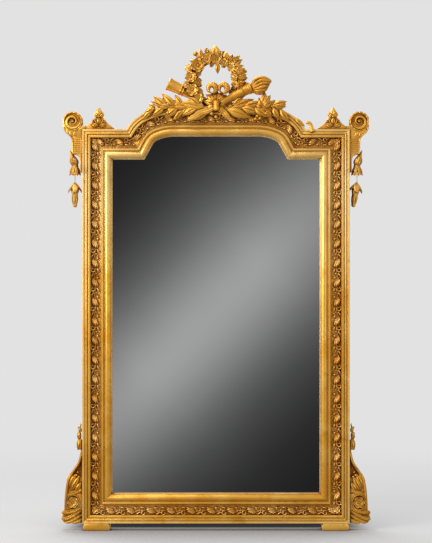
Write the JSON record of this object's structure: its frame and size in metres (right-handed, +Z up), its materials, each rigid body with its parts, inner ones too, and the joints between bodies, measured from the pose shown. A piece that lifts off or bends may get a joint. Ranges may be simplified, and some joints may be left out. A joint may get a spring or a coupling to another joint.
{
  "type": "pediment mirror",
  "caption": "Gilded carved-wood wall mirror with an arched pediment, wreath and torch crest, side consoles, mirror plate, wooden back and hanging rings.",
  "frame": {"origin": "on the floor, midway across the frame and midway through the overall depth", "axes": "+X to the viewer's right, +Y to the wall behind, +Z up"},
  "size_m": [1.143, 0.0988, 1.7913],
  "materials": {
    "gilded_wood": "worn gold leaf over gesso",
    "gilded_frieze": "toned gold leaf, dark in the hollows",
    "mirror_plate": "silvered plate glass",
    "softwood": "aged bare pine",
    "iron": "dark rubbed iron",
    "gilded_wire": "dull gilded wire"
  },
  "bodies": {
    "frame": {"backboard_1": "softwood", "backboard_2": "softwood", "backboard_3": "softwood", "backboard_4": "softwood", "backboard_screws": "iron", "bottom_rail_frieze": "gilded_frieze", "bottom_rail_moulding": "gilded_wood", "chassis_bottom_rail": "softwood", "chassis_left_stile": "softwood", "chassis_right_stile": "softwood", "chassis_top_rail": "softwood", "crest_backing": "softwood", "crest_dowels": "softwood", "crown_frieze": "gilded_frieze", "crown_moulding": "gilded_wood", "drop_wires": "gilded_wire", "glass_wedges": "softwood", "left_bellflower": "gilded_wood", "left_foot": "gilded_wood", "left_hanging_strap": "iron", "left_haunch_frieze": "gilded_frieze", "left_haunch_moulding": "gilded_wood", "left_husk": "gilded_wood", "left_laurel_branch": "gilded_wood", "left_leaf_drop": "gilded_wood", "left_lower_console": "gilded_wood", "left_palmette": "gilded_wood", "left_shoulder_frieze": "gilded_frieze", "left_shoulder_moulding": "gilded_wood", "left_stile_frieze": "gilded_frieze", "left_stile_moulding": "gilded_wood", "left_upper_console": "gilded_wood", "mirror_plate": "mirror_plate", "quiver": "gilded_wood", "ribbon_bow": "gilded_wood", "ribbon_knot": "gilded_wood", "ribbon_tails": "gilded_wood", "right_bellflower": "gilded_wood", "right_foot": "gilded_wood", "right_hanging_strap": "iron", "right_haunch_frieze": "gilded_frieze", "right_haunch_moulding": "gilded_wood", "right_husk": "gilded_wood", "right_laurel_branch": "gilded_wood", "right_leaf_drop": "gilded_wood", "right_lower_console": "gilded_wood", "right_palmette": "gilded_wood", "right_shoulder_frieze": "gilded_frieze", "right_shoulder_moulding": "gilded_wood", "right_stile_frieze": "gilded_frieze", "right_stile_moulding": "gilded_wood", "right_upper_console": "gilded_wood", "strap_screws": "iron", "torch": "gilded_wood", "torch_flame": "gilded_wood", "wreath": "gilded_wood"},
    "left_ring": {"left_hanging_ring": "iron"},
    "right_ring": {"right_hanging_ring": "iron"}
  },
  "joints": [
    {"name": "left_ring_swing", "type": "hinge", "parent": "frame", "child": "left_ring", "pos_m": [-0.454, 0.045, 1.215], "axis": [1, 0, 0], "range_deg": [0, 170]},
    {"name": "right_ring_swing", "type": "hinge", "parent": "frame", "child": "right_ring", "pos_m": [0.454, 0.045, 1.215], "axis": [1, 0, 0], "range_deg": [0, 170]}
  ]
}
